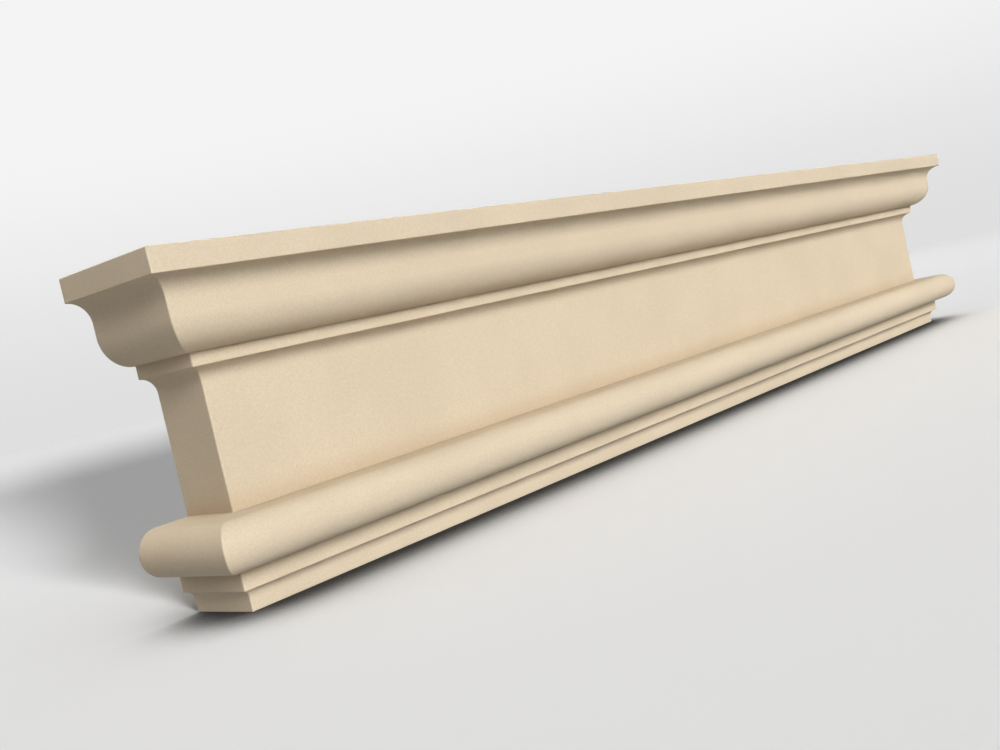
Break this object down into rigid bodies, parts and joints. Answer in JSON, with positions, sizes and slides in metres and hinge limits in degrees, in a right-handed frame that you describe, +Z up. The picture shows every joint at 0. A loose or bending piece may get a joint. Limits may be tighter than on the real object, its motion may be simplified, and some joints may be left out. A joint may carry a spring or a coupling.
{
  "type": "string course moulding",
  "caption": "Straight facade string course in pale cast stone, moulded front with slab, ogee, frieze and half-round roll, returned at both ends, flat back.",
  "frame": {"origin": "centre of the block's box, at bed level", "axes": "+X along the length, -Y out of the moulded front, +Y into the wall behind, +Z up"},
  "size_m": [1.975, 0.153, 0.35],
  "materials": {
    "cast_stone": "smooth matt, fine grained"
  },
  "bodies": {
    "root": {"string_course": "cast_stone"}
  },
  "joints": []
}
